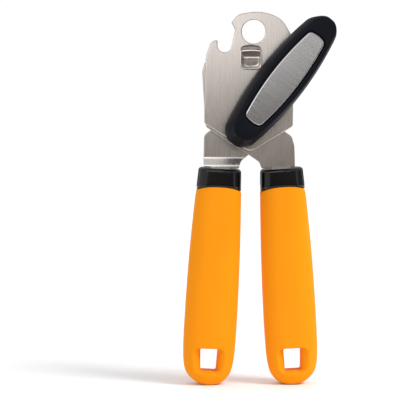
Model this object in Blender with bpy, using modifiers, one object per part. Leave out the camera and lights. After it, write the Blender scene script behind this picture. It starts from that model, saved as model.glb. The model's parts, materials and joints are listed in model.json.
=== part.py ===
"""A manual can opener: two crossing arms, a turning key, and a gear pair that drives the cutting wheel.

Lengths below are in millimetres, and MM turns them into metres. The opener stands on the ends of its
handles, with +Z up and the key facing -Y. While the pieces are made, X = 0 lies midway between the
handles and Y = 0 in the middle of the cutter arm's sheet. Last, ORIGIN_SHIFT moves the whole object
so that the origin is under the middle of its box.
"""

import math

import bmesh
import bpy
from mathutils import Matrix, Vector

MM = 0.001
ORIGIN_SHIFT = (-4.21, 4.1, 0.0)

# Joint axes, as (x, z). All of them run along Y.
PIVOT = (0.0, 150.0)
SHAFT = (15.9, 175.2)
ROUND_HOLE = (1.7, 203.8)
GEAR_TEETH = 16
GEAR_MODULE = 0.975
CUTTER = (SHAFT[0] - GEAR_TEETH * GEAR_MODULE, SHAFT[1])

# Layers, as (front y, rear y).
PLATE_Y = (-2.9, -1.3)
CUTTER_ARM_Y = (-1.0, 1.0)
FEED_ARM_Y = (1.3, 3.3)
GEAR_Y = (3.7, 5.9)
FEED_WHEEL_Y = (6.2, 9.2)
CUTTER_WHEEL_Y = (9.6, 11.2)
KNOB_Y = (-5.4, -22.4)
GAP = 0.3

# Radii that several pieces share.
PIVOT_R = 3.2
JOURNAL_R = 3.0
AXLE_R = 2.6
BUSH_NECK_R = 4.2
SQUARE_SIDE = 4.2
CUTTER_WHEEL_R = 9.8
FEED_WHEEL_R = 6.3

# The handles. Each row is (height, inner edge, outer edge, half thickness), with the edges measured
# outward from X = 0. The lean is how far a handle's axis tilts from upright.
LEAN = math.radians(3.45)
SEAM_Z = 113.35
GRIP_ROWS = (
    (0.0, 19.2, 28.2, 5.0),
    (0.9, 17.2, 30.3, 6.3),
    (2.6, 14.8, 33.0, 7.5),
    (5.5, 12.3, 36.1, 8.5),
    (9.5, 10.7, 38.1, 9.1),
    (15.4, 9.5, 38.9, 9.5),
    (26.0, 8.5, 38.8, 9.9),
    (42.0, 7.5, 37.9, 10.2),
    (62.0, 6.6, 36.5, 10.3),
    (84.0, 5.9, 34.6, 10.1),
    (SEAM_Z, 5.4, 31.4, 9.3),
)
COLLAR_ROWS = (
    (SEAM_Z + GAP, 5.4, 31.35, 9.3),
    (123.5, 5.45, 30.3, 9.0),
    (124.5, 5.9, 29.8, 8.5),
    (125.0, 7.0, 28.7, 7.4),
)
GRIP_SIDES = 32
SLEEVE_WALL = 3.2
CORE_FOOT_Z = 30.0
# The hang hole's corners, as (outward, height), and how far each one moves where the hole flares to its dish.
HANG_HOLE = ((19.0, 20.9), (20.1, 8.1), (29.0, 8.7), (29.0, 21.45))
HANG_HOLE_FLARE = ((-4.3, 0.5), (-4.3, -1.5), (4.8, -1.5), (4.8, 0.5))
TANG_FOOT_Z = 60.0
TANG_HALF_WIDTH = 5.5

# The key, in its own plane: along its length, then across it.
KNOB_ANGLE = math.radians(38.0)
KNOB_LENGTH = 89.4
KNOB_WIDTH = 27.8
KNOB_END_WIDTH = 16.6
FACE_SHIFT = (2.8, 0.2)
INSERT_LENGTH = 60.5
INSERT_WIDTH = 16.2
INSERT_END_WIDTH = 10.8


# ---------------------------------------------------------------- scene, materials and placing


def clear_scene():
    for obj in list(bpy.data.objects):
        bpy.data.objects.remove(obj, do_unlink=True)


def new_collection(name):
    collection = bpy.data.collections.new(name)
    bpy.context.scene.collection.children.link(collection)
    return collection


def new_material(name, colour, roughness, metallic):
    material = bpy.data.materials.new(name)
    material.use_nodes = True
    shader = material.node_tree.nodes["Principled BSDF"]
    shader.inputs["Base Color"].default_value = (*colour, 1.0)
    shader.inputs["Roughness"].default_value = roughness
    shader.inputs["Metallic"].default_value = metallic
    material.diffuse_color = (*colour, 1.0)
    return material


def new_object(name, mesh, material=None):
    obj = bpy.data.objects.new(name, mesh)
    if material:
        mesh.materials.append(material)
        PARTS.objects.link(obj)
    else:
        CUTTERS.objects.link(obj)
        obj.hide_render = True
        obj.display_type = "WIRE"
    return obj


def new_axis(name, centre, parent=None):
    """An empty on a joint's axis. The pieces that turn about the axis are its children."""
    empty = bpy.data.objects.new(name, None)
    empty.empty_display_size = 0.01
    PARTS.objects.link(empty)
    empty.location = (centre[0] * MM, 0.0, centre[1] * MM)
    bpy.context.view_layer.update()
    if parent:
        hang_on(empty, parent)
    return empty


def hang_on(obj, parent):
    obj.parent = parent
    obj.matrix_parent_inverse = parent.matrix_world.inverted()
    bpy.context.view_layer.update()


def finish_mesh(bm, name):
    bmesh.ops.remove_doubles(bm, verts=bm.verts, dist=1e-7)
    bmesh.ops.recalc_face_normals(bm, faces=bm.faces)
    if bm.calc_volume(signed=True) < 0:
        bmesh.ops.reverse_faces(bm, faces=bm.faces)
    mesh = bpy.data.meshes.new(name)
    bm.to_mesh(mesh)
    bm.free()
    return mesh


def boolean(target, operation, *others):
    for other in others:
        modifier = target.modifiers.new(f"{operation.lower()} {other.name}", "BOOLEAN")
        modifier.operation = operation
        modifier.solver = "EXACT"
        modifier.object = other


# ---------------------------------------------------------------- shapes


def rounded(corners, steps=5):
    """A closed outline through (x, z, radius) corners, each one replaced by an arc of its radius."""
    points = []
    for i, (x, z, radius) in enumerate(corners):
        here = Vector((x, z))
        back = (Vector(corners[i - 1][:2]) - here).normalized()
        ahead = (Vector(corners[(i + 1) % len(corners)][:2]) - here).normalized()
        half = back.angle(ahead) / 2
        if radius == 0 or half > math.radians(89):
            points.append(here)
            continue
        centre = here + (back + ahead).normalized() * radius / math.sin(half)
        first = here + back * radius / math.tan(half) - centre
        last = here + ahead * radius / math.tan(half) - centre
        sweep = first.angle_signed(last)
        count = max(2, math.ceil(steps * abs(sweep) / (math.pi / 2)))
        for step in range(count + 1):
            points.append(centre + first @ Matrix.Rotation(sweep * step / count, 2))
    return points


def ring(centre, radius, count=32, phase=0.0):
    angles = [phase + math.tau * i / count for i in range(count)]
    return [Vector((centre[0] + radius * math.cos(a), centre[1] + radius * math.sin(a))) for a in angles]


def sheet(name, y_range, loops, material=None):
    """A flat outline, with any further loops as holes, standing in the XZ plane between two y values."""
    curve = bpy.data.curves.new(name, "CURVE")
    curve.dimensions = "2D"
    curve.fill_mode = "BOTH"
    curve.extrude = abs(y_range[1] - y_range[0]) / 2 * MM
    for loop in loops:
        spline = curve.splines.new("POLY")
        spline.points.add(len(loop) - 1)
        spline.use_cyclic_u = True
        for point, (x, z) in zip(spline.points, loop):
            point.co = (x * MM, z * MM, 0.0, 1.0)
    drawn = bpy.data.objects.new(name + " outline", curve)
    bm = bmesh.new()
    bm.from_mesh(drawn.to_mesh())
    drawn.to_mesh_clear()
    bpy.data.objects.remove(drawn)
    upright = Matrix.Translation((0.0, sum(y_range) / 2 * MM, 0.0)) @ Matrix.Rotation(math.pi / 2, 4, "X")
    bmesh.ops.transform(bm, matrix=upright, verts=bm.verts)
    return new_object(name, finish_mesh(bm, name), material)


def turned(name, centre, profile, material=None, steps=32):
    """A solid turned about the Y axis through centre. The profile is (radius, y) points; it starts and
    ends on the axis, or is a closed loop round a bore."""
    mesh = bpy.data.meshes.new(name)
    on_axis = profile[0][0] == 0
    edges = [(i, i + 1) for i in range(len(profile) - 1)]
    if not on_axis:
        edges.append((len(profile) - 1, 0))
    mesh.from_pydata([(r * MM, y * MM, 0.0) for r, y in profile], edges, [])
    obj = new_object(name, mesh, material)
    obj.location = (centre[0] * MM, 0.0, centre[1] * MM)
    screw = obj.modifiers.new("turn", "SCREW")
    screw.axis = "Y"
    screw.steps = steps
    screw.render_steps = steps
    screw.use_merge_vertices = True
    screw.merge_threshold = 1e-6
    screw.use_smooth_shade = False
    screw.use_normal_flip = True
    return obj


def tube(name, centre, bore, radius, y_range, material=None, steps=32):
    front, rear = y_range
    profile = [(bore, front), (radius, front), (radius, rear), (bore, rear)]
    return turned(name, centre, profile, material, steps)


def rod(name, centre, radius, y_range, material=None, steps=32):
    front, rear = y_range
    return turned(name, centre, [(0, front), (radius, front), (radius, rear), (0, rear)], material, steps)


def loft(name, rings, material=None):
    """A closed skin over rings with equal numbers of points, with a flat cap on each end ring."""
    bm = bmesh.new()
    loops = [[bm.verts.new(Vector(point) * MM) for point in points] for points in rings]
    for lower, upper in zip(loops, loops[1:]):
        for i in range(len(lower)):
            bm.faces.new((lower[i - 1], lower[i], upper[i], upper[i - 1]))
    bm.faces.new(loops[0])
    bm.faces.new(loops[-1])
    return new_object(name, finish_mesh(bm, name), material)


# ---------------------------------------------------------------- handles


def handle_lean(height):
    """How far a handle's axis lies outward from X = 0 at a height."""
    return 18.35 + (112.0 - height) * math.tan(LEAN)


def shoulder_height(outward):
    """The height of the arms' shoulders, which rest just above the sloping collar tops."""
    return 125.35 + (outward - handle_lean(125.0)) * math.tan(LEAN)


def grip_ring(row, side, inset=0.0):
    """A section of a handle: a rounded oval whose plane tilts until, higher up, it is square to the axis."""
    height, inner, outer, thick = row
    middle = (inner + outer) / 2
    half_width = (outer - inner) / 2 - inset
    half_thick = thick - inset
    tilt = math.tan(LEAN) * min(1.0, height / 60.0)
    points = []
    for i in range(GRIP_SIDES):
        angle = math.tau * i / GRIP_SIDES
        c, s = math.cos(angle), math.sin(angle)
        outward = middle + half_width * math.copysign(abs(c) ** 0.8, c)
        y = half_thick * math.copysign(abs(s) ** 0.8, s)
        points.append((side * outward, y, height + tilt * (outward - middle)))
    return points


def row_between(height):
    """A handle section at any height, read between the rows of the handle."""
    for low, high in zip(GRIP_ROWS, GRIP_ROWS[1:]):
        if low[0] <= height <= high[0]:
            t = (height - low[0]) / (high[0] - low[0])
            return tuple(a + (b - a) * t for a, b in zip(low, high))
    return (height, *GRIP_ROWS[-1][1:])


def hang_hole_cutter(name, side):
    """A four-sided hole, upright on its outer side, that flares out to a dish at both faces."""
    rings = []
    cove = ((5.2, 0.0), (7.2, 0.5), (8.3, 1.0), (12.0, 1.7))
    for y, flare in [(-y, flare) for y, flare in cove[::-1]] + list(cove):
        radius = 0.8 + 4.0 * flare
        outline = [
            (x + dx * flare, z + dz * flare, radius) for (x, z), (dx, dz) in zip(HANG_HOLE, HANG_HOLE_FLARE)
        ]
        rings.append([(side * x, y, z) for x, z in rounded(outline, 4)])
    return loft(name, rings)


def grip_sleeve(name, side, material):
    sleeve = loft(name, [grip_ring(row, side) for row in GRIP_ROWS], material)
    inset = SLEEVE_WALL
    heights = (CORE_FOOT_Z - GAP, 62.0, 84.0, SEAM_Z, 120.0)
    cavity = loft(name + " cavity", [grip_ring(row_between(z), side, inset) for z in heights])
    boolean(sleeve, "DIFFERENCE", cavity, hang_hole_cutter(name + " hang hole", side))
    return sleeve


def grip_core(name, side, material):
    """The black core. The part above the sleeve is the collar, as wide as the sleeve."""
    inset = SLEEVE_WALL + GAP
    inside = [grip_ring(row_between(z), side, inset) for z in (CORE_FOOT_Z, 62.0, 84.0, SEAM_Z)]
    inside.append(grip_ring(COLLAR_ROWS[0], side, inset))
    core = loft(name, inside + [grip_ring(row, side) for row in COLLAR_ROWS], material)
    boolean(core, "DIFFERENCE", tang_slot(name + " tang slot", side))
    return core


def tang_slot(name, side):
    foot, top, half = TANG_FOOT_Z - GAP, 130.0, TANG_HALF_WIDTH + GAP
    corners = [
        (side * (handle_lean(foot) - half), foot, 0),
        (side * (handle_lean(foot) + half), foot, 0),
        (side * (handle_lean(top) + half), top, 0),
        (side * (handle_lean(top) - half), top, 0),
    ]
    y_range = (CUTTER_ARM_Y[0] - GAP, CUTTER_ARM_Y[1] + GAP)
    return sheet(name, y_range, [rounded(corners)])


def tang_corners(side, neck_inner, neck_outer):
    """The arm's outline inside a handle, from the neck's inner shoulder round to its outer one."""
    low = TANG_FOOT_Z
    inner = handle_lean(low) - TANG_HALF_WIDTH
    outer = handle_lean(low) + TANG_HALF_WIDTH
    high_inner = handle_lean(125.0) - TANG_HALF_WIDTH
    high_outer = handle_lean(125.0) + TANG_HALF_WIDTH
    return [
        (side * neck_inner, shoulder_height(neck_inner), 0.6),
        (side * high_inner, shoulder_height(high_inner), 0),
        (side * inner, low, 3.0),
        (side * outer, low, 3.0),
        (side * high_outer, shoulder_height(high_outer), 0),
        (side * neck_outer, shoulder_height(neck_outer), 0.6),
    ]


# ---------------------------------------------------------------- arms and front plate


def feed_arm(material):
    """The rear arm. It carries the key's shaft, and jogs forward above the left handle."""
    outline = rounded(
        [
            (-27.1, 131.4, 6.0),
            (-26.8, 144.6, 4.5),
            (-16.5, 151.5, 4.0),
            (-9.0, 164.5, 5.0),
            (1.5, 169.5, 3.0),
            (7.2, 170.5, 2.0),
            (7.2, 186.0, 5.0),
            (23.2, 186.0, 8.0),
            (22.8, 153.5, 6.0),
            (13.5, 141.5, 8.0),
            (-1.4, 132.6, 3.0),
            (-5.5, 129.3, 4.0),
        ]
        + tang_corners(-1, 6.9, 27.1)
    )
    blank_y = (CUTTER_ARM_Y[0] - 1.0, FEED_ARM_Y[1] + 1.0)
    holes = [ring(PIVOT, PIVOT_R + GAP), ring(SHAFT, BUSH_NECK_R + GAP)]
    arm = sheet("feed_arm", blank_y, [outline, *holes], material)
    boolean(arm, "INTERSECT", jogged_sheet("feed_arm jog"))
    return arm


def jogged_sheet(name):
    """The bent sheet that the feed arm is cut from, wider than the arm."""
    low_front, low_rear = CUTTER_ARM_Y
    high_front, high_rear = FEED_ARM_Y
    side_view = [
        (low_front, 50.0),
        (low_rear, 50.0),
        (low_rear, 125.9),
        (high_rear, 130.9),
        (high_rear, 200.0),
        (high_front, 200.0),
        (high_front, 131.8),
        (low_front, 126.8),
    ]
    ends = [[(x, y, z) for y, z in side_view] for x in (-40.0, 40.0)]
    return loft(name, ends)


def cutter_arm(material):
    """The middle arm. It carries the cutter axle, and closes against the feed bush's shoulder."""
    outline = rounded(
        [
            (25.2, 138.0, 6.0),
            (23.6, 143.6, 3.0),
            (13.5, 151.0, 4.0),
            (10.2, 163.0, 6.0),
            (10.1, 178.3, 2.5),
            (1.0, 180.5, 12.0),
            (-8.6, 178.9, 2.0),
            (-10.8, 184.6, 2.0),
            (-26.6, 186.2, 1.2),
            (-28.0, 181.0, 5.0),
            (-27.0, 163.5, 20.0),
            (-25.9, 149.0, 2.5),
            (-0.7, 132.6, 8.0),
            (4.9, 128.7, 4.0),
        ]
        + tang_corners(1, 6.2, 25.6)
    )
    holes = [ring(PIVOT, PIVOT_R + GAP), ring(CUTTER, AXLE_R + GAP)]
    arm = sheet("cutter_arm", CUTTER_ARM_Y, [outline, *holes], material)
    boolean(arm, "DIFFERENCE", rod("cutter_arm head seat", CUTTER, 4.0 + GAP, (-4, 0.1)))
    return arm


def plate_outline():
    return rounded(
        [
            (-26.6, 150.8, 2.0),
            (-26.5, 164.0, 40.0),
            (-25.7, 189.5, 12.0),
            (-22.9, 198.0, 4.0),
            (-18.9, 199.2, 0.8),
            (-19.4, 191.9, 4.2),
            (-11.6, 191.9, 3.6),
            (-8.8, 204.6, 0.8),
            (-11.2, 209.0, 0.5),
            (-7.2, 214.0, 6.0),
            (6.0, 216.2, 24.0),
            (18.2, 211.4, 14.0),
            (24.3, 200.0, 12.0),
            (24.7, 175.0, 60.0),
            (24.4, 148.9, 2.0),
            (0.6, 134.0, 3.0),
        ],
        6,
    )


def front_plate(material):
    window = rounded([(-5.3, 182.0, 2.2), (5.6, 182.0, 2.2), (5.6, 195.6, 1.2), (-5.3, 195.6, 1.2)], 4)
    holes = [window, ring(ROUND_HOLE, 6.75), ring(PIVOT, PIVOT_R + GAP), ring(SHAFT, BUSH_NECK_R + GAP)]
    plate = sheet("front_plate", PLATE_Y, [plate_outline(), *holes], material)
    boolean(plate, "UNION", rim_ramp("front_plate rim ramp"), rim_cup("front_plate rim cup"))
    return plate


def rim_ramp(name):
    """The tongue lanced from the plate. It slopes back from the window's top edge to behind the cup."""
    side_view = [
        (-2.7, 197.0),
        (-2.7, 195.4),
        (1.1, 190.2),
        (1.1, 187.6),
        (2.1, 187.6),
        (2.1, 190.5),
        (-1.5, 195.6),
        (-1.5, 197.0),
    ]
    ends = [[(x, y, z) for y, z in side_view] for x in (-5.0, 5.3)]
    return loft(name, ends)


def rim_cup(name):
    """The cup pressed back from the window's lower half, which steadies the can's rim."""
    outside = rounded([(-5.7, 181.6, 2.6), (6.0, 181.6, 2.6), (6.0, 189.0, 0), (-5.7, 189.0, 0)], 4)
    inside = rounded([(-4.5, 182.7, 1.6), (4.8, 182.7, 1.6), (4.8, 195.0, 0), (-4.5, 195.0, 0)], 4)
    cup = sheet(name, (-2.7, 0.8), [outside])
    boolean(cup, "DIFFERENCE", sheet(name + " hollow", (-6.0, -0.2), [inside]))
    return cup


def pivot_rivet(material):
    profile = [
        (0, -4.4),
        (3.2, -4.2),
        (5.2, -3.6),
        (5.2, -3.2),
        (PIVOT_R, -3.2),
        (PIVOT_R, 4.7),
        (4.8, 4.7),
        (4.8, 5.2),
        (3.4, 5.8),
        (0, 5.9),
    ]
    return turned("pivot_rivet", PIVOT, profile, material)


def pivot_washer(material):
    return tube("pivot_washer", PIVOT, PIVOT_R + GAP, 6.0, (3.6, 4.4), material)


def feed_bush(material):
    """A shouldered bush: its necks sit in the plate and the feed arm, its shoulder keeps them apart."""
    bore, shoulder = JOURNAL_R + GAP, 5.4
    profile = [
        (bore, PLATE_Y[0]),
        (BUSH_NECK_R, PLATE_Y[0]),
        (BUSH_NECK_R, CUTTER_ARM_Y[0]),
        (shoulder, CUTTER_ARM_Y[0]),
        (shoulder, CUTTER_ARM_Y[1]),
        (BUSH_NECK_R, CUTTER_ARM_Y[1]),
        (BUSH_NECK_R, FEED_ARM_Y[1]),
        (bore, FEED_ARM_Y[1]),
    ]
    return turned("feed_bush", SHAFT, profile, material)


def square_bar(name, centre, side, y_range, angle=0.0):
    half_diagonal = side / math.sqrt(2)
    return sheet(name, y_range, [ring(centre, half_diagonal, 4, angle + math.pi / 4)])


def feed_shaft(material):
    """A round journal between two squared ends, with a peened head behind the retaining washer."""
    shaft = rod("feed_shaft", SHAFT, JOURNAL_R, (-5.1, 3.5), material)
    bar = square_bar("feed_shaft square", SHAFT, SQUARE_SIDE, (-16.0, 11.0))
    head = turned("feed_shaft head", SHAFT, [(0, 10.5), (3.5, 10.5), (3.5, 11.0), (2.2, 11.6), (0, 11.7)])
    boolean(shaft, "UNION", bar, head)
    return shaft


def gear_outline(centre, phase):
    """A spur gear's outline: straight-sided teeth, thinned a little so that the pair runs freely."""
    pitch = GEAR_TEETH * GEAR_MODULE / 2
    rows = ((pitch - 1.1, 0.95), (pitch, 0.63), (pitch + 0.88, 0.27))
    points = []
    for tooth in range(GEAR_TEETH):
        middle = phase + math.tau * tooth / GEAR_TEETH
        for side, flank in ((-1, rows), (1, rows[::-1])):
            for radius, half_thick in flank:
                angle = middle + side * half_thick / radius
                across, up = radius * math.cos(angle), radius * math.sin(angle)
                points.append(Vector((centre[0] + across, centre[1] + up)))
    return points


def feed_gear(material):
    square = ring(SHAFT, (SQUARE_SIDE + 2 * GAP) / math.sqrt(2), 4, math.pi / 4)
    return sheet("feed_gear", GEAR_Y, [gear_outline(SHAFT, 0.0), square], material)


def feed_wheel(material):
    """The serrated wheel that grips under the can's rim."""
    serrations = 28
    outline = []
    for i in range(serrations):
        for radius, share in ((FEED_WHEEL_R, 0.0), (FEED_WHEEL_R - 0.6, 0.5)):
            angle = math.tau * (i + share) / serrations
            outline.append(
                Vector((SHAFT[0] + radius * math.cos(angle), SHAFT[1] + radius * math.sin(angle)))
            )
    square = ring(SHAFT, (SQUARE_SIDE + 2 * GAP) / math.sqrt(2), 4, math.pi / 4)
    return sheet("feed_wheel", FEED_WHEEL_Y, [outline, square], material)


def feed_retainer(material):
    return tube("feed_retainer", SHAFT, JOURNAL_R + GAP, 4.7, (9.5, 10.2), material)


# ---------------------------------------------------------------- cutting wheel


def cutter_axle(material):
    profile = [(0, -0.9), (4.0, -0.9), (4.0, -0.2), (AXLE_R, -0.2), (AXLE_R, 13.3), (0, 13.3)]
    return turned("cutter_axle", CUTTER, profile, material)


def cutter_spacer(material):
    return tube("cutter_spacer", CUTTER, AXLE_R + GAP, 4.2, (1.3, 3.4), material)


def cutter_gear(material):
    """The gear, with a hub that reaches past the feed wheel and a neck that the cutting wheel sits on."""
    phase = math.pi / GEAR_TEETH
    gear = sheet("cutter_gear", GEAR_Y, [gear_outline(CUTTER, phase)], material)
    steps = [(0, 5.0), (4.9, 5.0), (4.9, 9.3), (3.6, 9.3), (3.6, 11.0), (0, 11.0)]
    hub = turned("cutter_gear hub", CUTTER, steps)
    boolean(gear, "UNION", hub)
    boolean(gear, "DIFFERENCE", rod("cutter_gear bore", CUTTER, AXLE_R + GAP, (0, 15)))
    return gear


def cutter_wheel(material):
    front, rear = CUTTER_WHEEL_Y
    bore = 3.6 + GAP
    profile = [
        (bore, front),
        (CUTTER_WHEEL_R - 0.1, front),
        (CUTTER_WHEEL_R, front + 0.15),
        (7.2, rear),
        (bore, rear),
    ]
    return turned("cutter_wheel", CUTTER, profile, material, 48)


def cutter_spring(material):
    """A conical spring washer that keeps the cutting wheel close to the feed wheel."""
    bore = AXLE_R + GAP
    profile = [(bore, 11.5), (4.9, 11.9), (4.9, 12.4), (bore, 12.0)]
    return turned("cutter_spring_washer", CUTTER, profile, material)


def cutter_cap(material):
    bore = AXLE_R + GAP
    profile = [(0, 13.6), (bore, 13.6), (bore, 12.7), (4.8, 12.7), (4.8, 13.4), (3.4, 14.4), (0, 14.7)]
    return turned("cutter_cap", CUTTER, profile, material)


# ---------------------------------------------------------------- key


def boat(length, width, end_width, corner, bulge=0.0):
    """A long outline with bowed sides and blunt, rounded ends, as (along, across) points."""
    half, end = length / 2, end_width / 2
    points = []
    for turn in (0, 1):
        sign = 1 - 2 * turn
        for i in range(7):
            points.append((sign * (half - corner) * (-1 + i / 3), -sign * end))
        for step in range(1, 6):
            angle = math.pi / 2 * step / 5
            along = half - corner + corner * math.sin(angle)
            points.append((sign * along, -sign * (end - corner + corner * math.cos(angle))))
        for step in range(6):
            angle = math.pi / 2 * (1 - step / 5)
            along = half - corner + corner * math.sin(angle)
            points.append((sign * along, sign * (end - corner + corner * math.cos(angle))))
        points.pop()
    bowed = []
    for along, across in points:
        share = 1 - (along / half) ** 2
        across_now = across * (1 + (width / end_width - 1) * share)
        blunt = max(0.0, abs(along) / half - 0.8) / 0.2
        along_now = along + math.copysign(bulge * blunt * (1 - (across / end) ** 2), along)
        bowed.append((along_now, across_now))
    return bowed


def in_key_plane(points, y, shift=(0.0, 0.0)):
    """Points of the key's own plane, (along, across), placed at y round the feed shaft."""
    sin, cos = math.sin(KNOB_ANGLE), math.cos(KNOB_ANGLE)
    placed = []
    for along, across in points:
        u, v = along + shift[0], across + shift[1]
        placed.append((SHAFT[0] + u * sin + v * cos, y, SHAFT[1] + u * cos - v * sin))
    return placed


def knob_ring(y, inset, share):
    """One section of the key: the outline set in from its widest, moved part of the way to the face."""
    outline = boat(
        KNOB_LENGTH - 2 * inset - 2.0,
        KNOB_WIDTH - 2 * inset,
        KNOB_END_WIDTH - 2 * inset,
        6.4 - 0.8 * inset,
        1.0,
    )
    return in_key_plane(outline, y, (FACE_SHIFT[0] * share, FACE_SHIFT[1] * share))


def insert_outline(grow=0.0):
    length, end = INSERT_LENGTH - 2.0, INSERT_END_WIDTH
    return boat(length + 2 * grow, INSERT_WIDTH + 2 * grow, end + 2 * grow, 1.6 + grow, 1.0)


def knob_body(material):
    back, front = KNOB_Y
    rings = [
        knob_ring(back, 2.6, 0.0),
        knob_ring(back - 0.8, 1.0, 0.0),
        knob_ring(back - 2.6, 0.0, 0.0),
        knob_ring(back - 8.0, 0.0, 0.0),
        knob_ring(front + 4.5, 0.7, 0.35),
        knob_ring(front + 1.8, 1.7, 0.7),
        knob_ring(front, 2.9, 1.0),
        in_key_plane(insert_outline(0.5), front, FACE_SHIFT),
        in_key_plane(insert_outline(0.5), front + 1.6, FACE_SHIFT),
    ]
    knob = loft("knob_body", rings, material)
    boolean(knob, "DIFFERENCE", square_bar("knob_body socket", SHAFT, SQUARE_SIDE + 2 * GAP, (-16.4, 0.0)))
    return knob


def knob_insert(material):
    front = KNOB_Y[1]
    rings = [
        in_key_plane(insert_outline(), front + 1.3, FACE_SHIFT),
        in_key_plane(insert_outline(), front - 0.1, FACE_SHIFT),
        in_key_plane(insert_outline(-0.4), front - 0.5, FACE_SHIFT),
    ]
    return loft("knob_insert", rings, material)


def knob_washer(material):
    return tube("knob_washer", SHAFT, JOURNAL_R + GAP, 7.0, (-5.1, -3.3), material)


# ---------------------------------------------------------------- the opener


def build():
    steel = new_material("brushed_steel", (0.60, 0.57, 0.54), 0.34, 1.0)
    hard_steel = new_material("hardened_steel", (0.50, 0.50, 0.51), 0.28, 1.0)
    insert_steel = new_material("insert_steel", (0.36, 0.36, 0.37), 0.38, 1.0)
    orange = new_material("orange_grip", (0.98, 0.33, 0.01), 0.45, 0.0)
    black = new_material("black_gloss_plastic", (0.012, 0.012, 0.014), 0.18, 0.0)
    knob_black = new_material("black_satin_plastic", (0.016, 0.017, 0.024), 0.42, 0.0)
    nylon = new_material("white_nylon", (0.75, 0.74, 0.70), 0.5, 0.0)

    opener = new_axis("can_opener", (0.0, 0.0))
    handle_axis = new_axis("handle_pivot", PIVOT, opener)
    crank_axis = new_axis("crank_axis", SHAFT, opener)
    cutter_axis = new_axis("cutter_axis", CUTTER, handle_axis)

    feed_side = [
        front_plate(steel.copy()),
        feed_arm(steel.copy()),
        pivot_rivet(steel.copy()),
        pivot_washer(steel.copy()),
        feed_bush(hard_steel.copy()),
        grip_core("left_grip_core", -1, black.copy()),
        grip_sleeve("left_grip_sleeve", -1, orange.copy()),
    ]
    cutter_side = [
        cutter_arm(steel.copy()),
        cutter_axle(hard_steel.copy()),
        cutter_spacer(hard_steel.copy()),
        cutter_cap(steel.copy()),
        grip_core("right_grip_core", 1, black.copy()),
        grip_sleeve("right_grip_sleeve", 1, orange.copy()),
    ]
    crank = [
        knob_body(knob_black.copy()),
        knob_insert(insert_steel.copy()),
        knob_washer(nylon.copy()),
        feed_shaft(hard_steel.copy()),
        feed_gear(hard_steel.copy()),
        feed_wheel(hard_steel.copy()),
        feed_retainer(steel.copy()),
    ]
    cutter = [
        cutter_gear(hard_steel.copy()),
        cutter_wheel(hard_steel.copy()),
        cutter_spring(steel.copy()),
    ]
    for axis, pieces in (
        (opener, feed_side),
        (handle_axis, cutter_side),
        (crank_axis, crank),
        (cutter_axis, cutter),
    ):
        for piece in pieces:
            bpy.context.view_layer.update()
            hang_on(piece, axis)
    for helper in list(CUTTERS.objects):
        hang_on(helper, opener)
    opener.location = [value * MM for value in ORIGIN_SHIFT]


clear_scene()
PARTS = new_collection("manual_can_opener")
CUTTERS = new_collection("cutters")
build()
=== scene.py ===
"""The looks of the manual can opener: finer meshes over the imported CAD, their materials, and the studio.

Lengths below are in millimetres unless a name says otherwise, and MM turns them into metres. They are
measured from the handle pivot's x and y and from the floor, so x = 0 lies midway between the handles
and y = 0 in the middle of the cutter arm's sheet. The key faces -Y.
"""

import json
import math

import bmesh
import bpy
from mathutils import Matrix, Vector


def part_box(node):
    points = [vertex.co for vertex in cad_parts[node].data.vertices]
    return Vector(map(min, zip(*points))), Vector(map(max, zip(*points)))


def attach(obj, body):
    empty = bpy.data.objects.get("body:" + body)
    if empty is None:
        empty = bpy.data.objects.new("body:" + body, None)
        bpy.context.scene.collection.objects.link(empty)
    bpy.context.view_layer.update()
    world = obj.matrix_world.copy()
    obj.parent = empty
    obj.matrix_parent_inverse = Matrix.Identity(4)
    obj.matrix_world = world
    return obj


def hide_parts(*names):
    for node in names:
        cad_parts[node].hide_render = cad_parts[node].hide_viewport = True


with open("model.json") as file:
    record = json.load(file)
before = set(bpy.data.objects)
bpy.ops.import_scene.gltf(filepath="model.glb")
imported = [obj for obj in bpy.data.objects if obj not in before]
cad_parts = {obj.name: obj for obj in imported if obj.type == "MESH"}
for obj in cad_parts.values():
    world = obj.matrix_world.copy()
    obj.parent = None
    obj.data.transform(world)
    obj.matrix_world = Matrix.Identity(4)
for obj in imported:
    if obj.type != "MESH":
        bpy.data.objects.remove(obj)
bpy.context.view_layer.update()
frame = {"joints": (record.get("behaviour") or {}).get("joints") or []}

MM = 0.001
JOINTS = {joint["name"]: Vector(joint["pos_m"]) for joint in frame["joints"]}
HOME = Vector((JOINTS["handle_pivot"].x, JOINTS["handle_pivot"].y, 0.0))


def axis_of(joint):
    """Where a joint's axis passes, as (x, z)."""
    place = (JOINTS[joint] - HOME) / MM
    return (place.x, place.z)


def layer(node):
    """The front and rear y of a CAD node."""
    low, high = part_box(node)
    return ((low.y - HOME.y) / MM, (high.y - HOME.y) / MM)


PIVOT = axis_of("handle_pivot")
SHAFT = axis_of("crank_turn")
CUTTER = axis_of("cutter_turn")
ON_AXIS = (0.0, 0.0)

# The front plate, with its round hole and the pocket pressed back from its window.
PLATE_THICKNESS = 1.6
ROUND_HOLE = (1.35, 203.7)
ROUND_HOLE_R = 6.75
POCKET_THICKNESS = 0.8
POCKET_X = -0.05

# The mechanism. A bore is wider than its pin by the gap all round.
GEAR_TEETH = 16
GEAR_MODULE = (SHAFT[0] - CUTTER[0]) / GEAR_TEETH
PIVOT_R = 3.2
JOURNAL_R = 3.0
BUSH_NECK_R = 4.2
AXLE_R = 2.6
AXLE_HEAD_R = 4.0
SQUARE_SIDE = 4.2
GAP = 0.3

# The handles. They lean by an angle, and a handle's axis passes a place given as (x, z).
LEAN = math.radians(3.45)
HANDLE_AXIS = (18.35, 112.0)
SLEEVE_TOP = 113.7
COLLAR_FOOT = 114.0
COLLAR_TOP = 125.4
SEAM_ARCH = 2.5

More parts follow.
